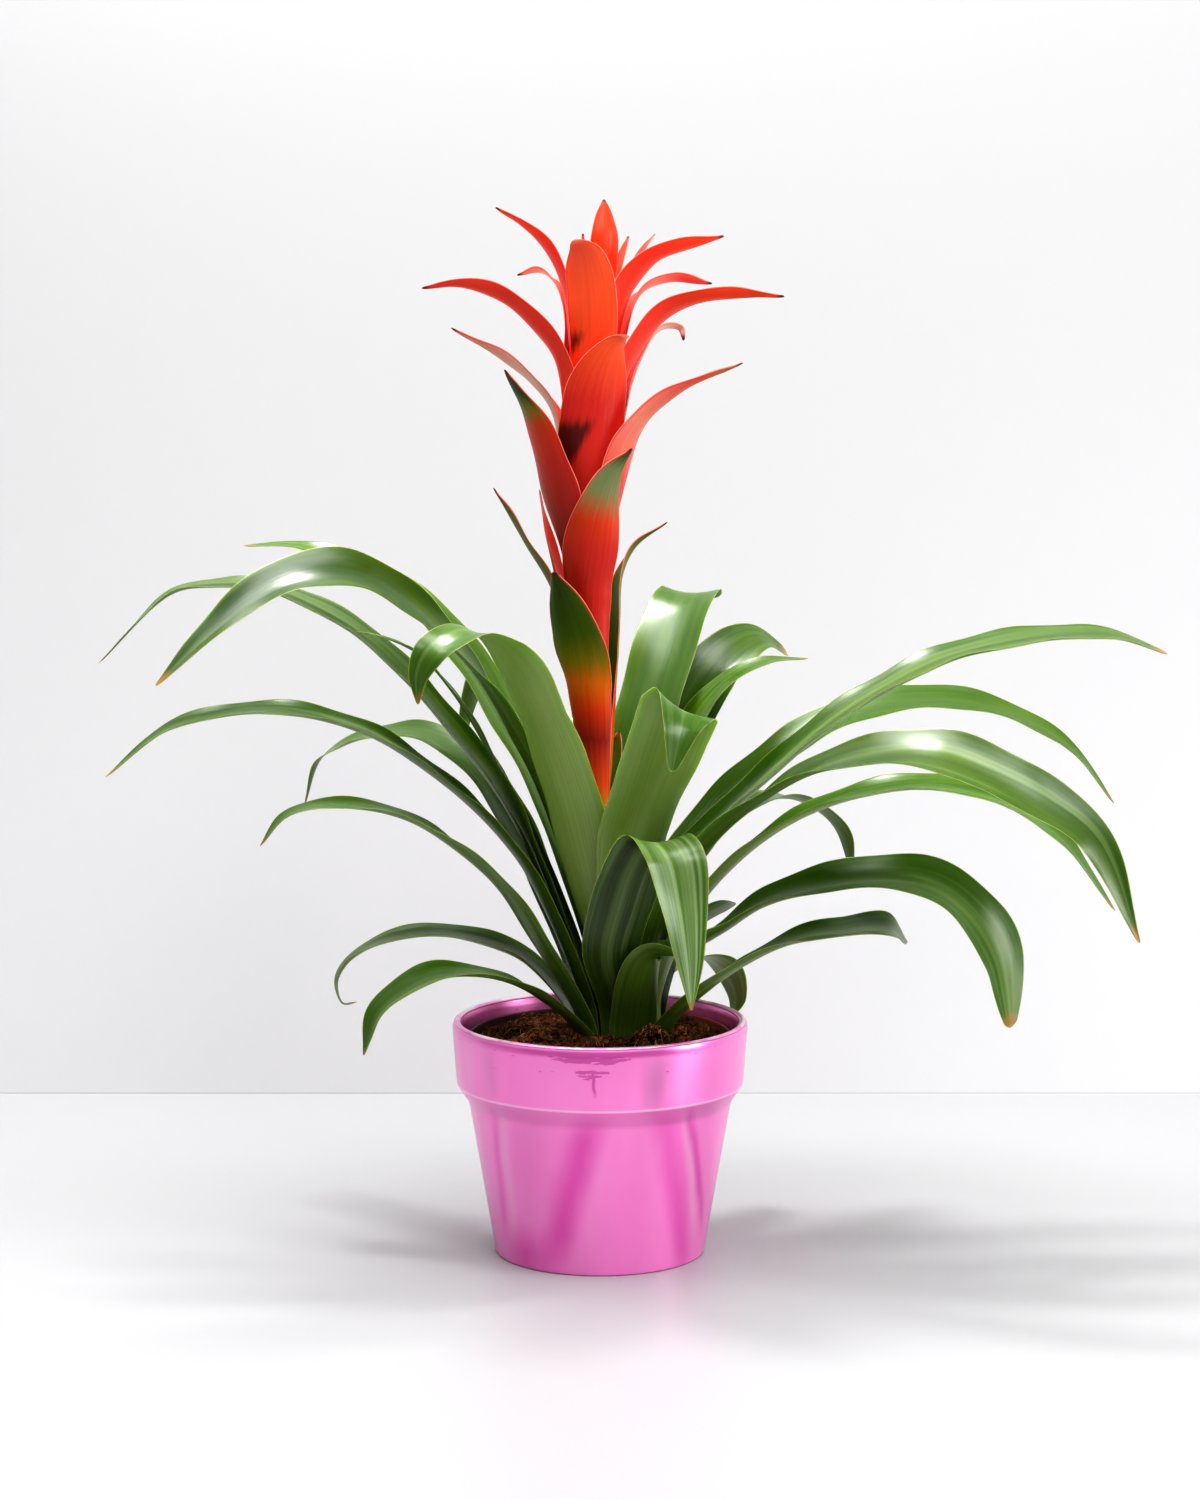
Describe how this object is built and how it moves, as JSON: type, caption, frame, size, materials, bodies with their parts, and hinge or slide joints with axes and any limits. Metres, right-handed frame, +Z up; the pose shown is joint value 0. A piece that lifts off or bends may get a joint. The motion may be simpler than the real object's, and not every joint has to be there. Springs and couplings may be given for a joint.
{
  "type": "potted guzmania",
  "caption": "Potted bromeliad with arching strap leaves and a tall stem of red bracts, in a tapered glazed cover pot.",
  "frame": {"origin": "middle of the cover pot's flat foot, on the pot's axis, so z = 0 is the surface it stands on", "axes": "+Z up along the pot's axis; +X to the right and -Y towards the camera in the picture"},
  "size_m": [0.5428, 0.2516, 0.5231],
  "materials": {
    "glaze": "glossy pearlescent pink glaze",
    "nursery_plastic": "matt terracotta-coloured plastic",
    "soil": "damp dark brown peat with coir fibres",
    "stem": "satin yellow-green stem",
    "leaf": "glossy dark to mid green leaf with fine parallel veins",
    "bract": "satin orange-red bract, green and yellow on the lower ones"
  },
  "bodies": {
    "root": {"cover_pot": "glaze", "nursery_pot": "nursery_plastic", "soil": "soil", "flower_stem": "stem", "leaf_01": "leaf", "leaf_02": "leaf", "leaf_03": "leaf", "leaf_04": "leaf", "leaf_05": "leaf", "leaf_06": "leaf", "leaf_07": "leaf", "leaf_08": "leaf", "leaf_09": "leaf", "leaf_10": "leaf", "leaf_11": "leaf", "leaf_12": "leaf", "leaf_13": "leaf", "leaf_14": "leaf", "leaf_15": "leaf", "leaf_16": "leaf", "leaf_17": "leaf", "leaf_18": "leaf", "leaf_19": "leaf", "leaf_20": "leaf", "leaf_21": "leaf", "leaf_22": "leaf", "leaf_23": "leaf", "leaf_24": "leaf", "leaf_25": "leaf", "bract_01": "bract", "bract_02": "bract", "bract_03": "bract", "bract_04": "bract", "bract_05": "bract", "bract_06": "bract", "bract_07": "bract", "bract_08": "bract", "bract_09": "bract", "bract_10": "bract", "bract_11": "bract", "bract_12": "bract", "bract_13": "bract", "bract_14": "bract", "bract_15": "bract", "bract_16": "bract", "bract_17": "bract", "bract_18": "bract", "bract_19": "bract", "bract_20": "bract", "bract_21": "bract", "bract_22": "bract"}
  },
  "joints": []
}
